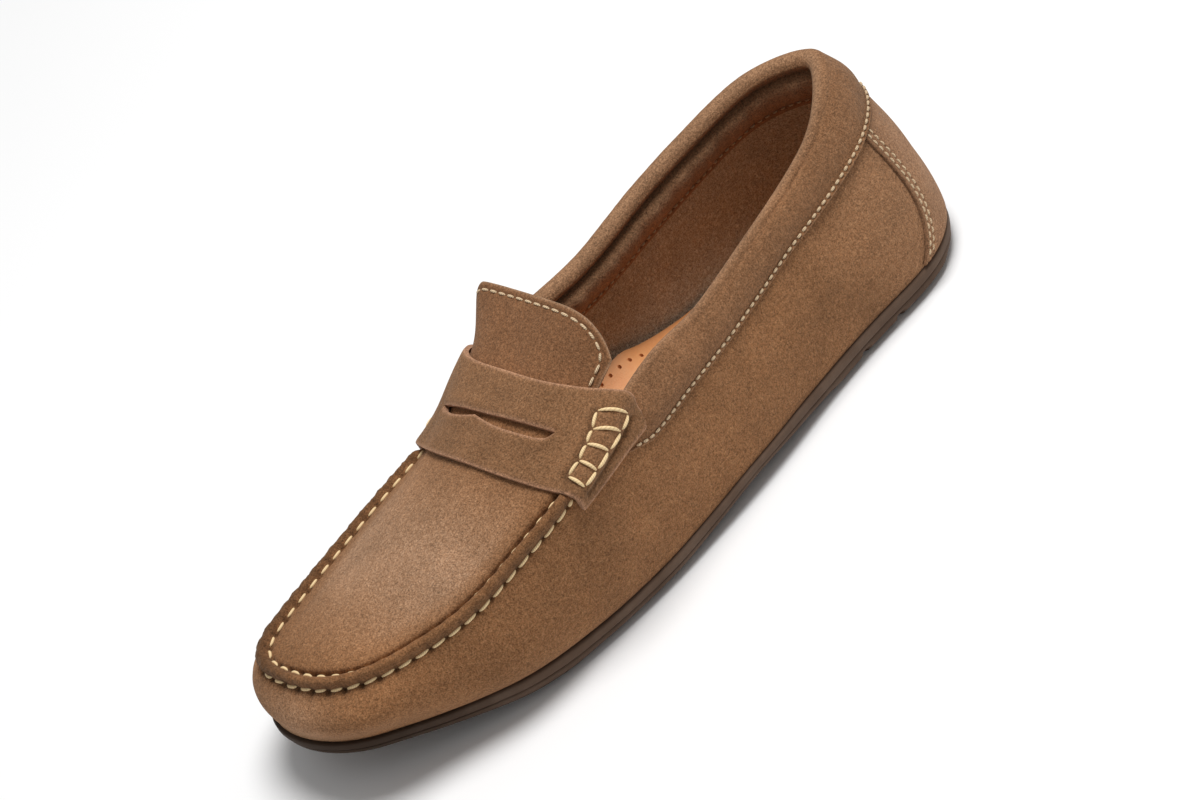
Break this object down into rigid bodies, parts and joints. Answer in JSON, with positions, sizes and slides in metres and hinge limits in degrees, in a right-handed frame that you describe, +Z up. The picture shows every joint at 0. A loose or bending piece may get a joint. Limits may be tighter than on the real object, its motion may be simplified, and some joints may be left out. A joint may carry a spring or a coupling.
{
  "type": "loafer",
  "caption": "Left suede driving loafer: hollow upper with a raised moccasin seam, slotted saddle strap, tongue, padded collar, heel patch, leather sock and moulded rubber tread sole.",
  "frame": {"origin": "centre of the bounding box at floor level, under the standing shoe", "axes": "+X towards the toe, +Y towards the outer side of the left foot, +Z up"},
  "size_m": [0.281, 0.0958, 0.0841],
  "materials": {
    "outsole": "dark brown moulded rubber, matt, pebbled block tops",
    "upper": "taupe brown suede with a soft nap",
    "collar": "taupe brown suede over padding",
    "heel_counter": "taupe brown suede patch",
    "strap": "taupe brown suede with raw cut edges",
    "tongue": "taupe brown suede with a top-stitched edge",
    "insole": "tan smooth leather with pinholes"
  },
  "bodies": {
    "root": {"outsole": "outsole", "upper": "upper", "collar": "collar", "heel_counter": "heel_counter", "strap": "strap", "tongue": "tongue", "insole": "insole"}
  },
  "joints": []
}
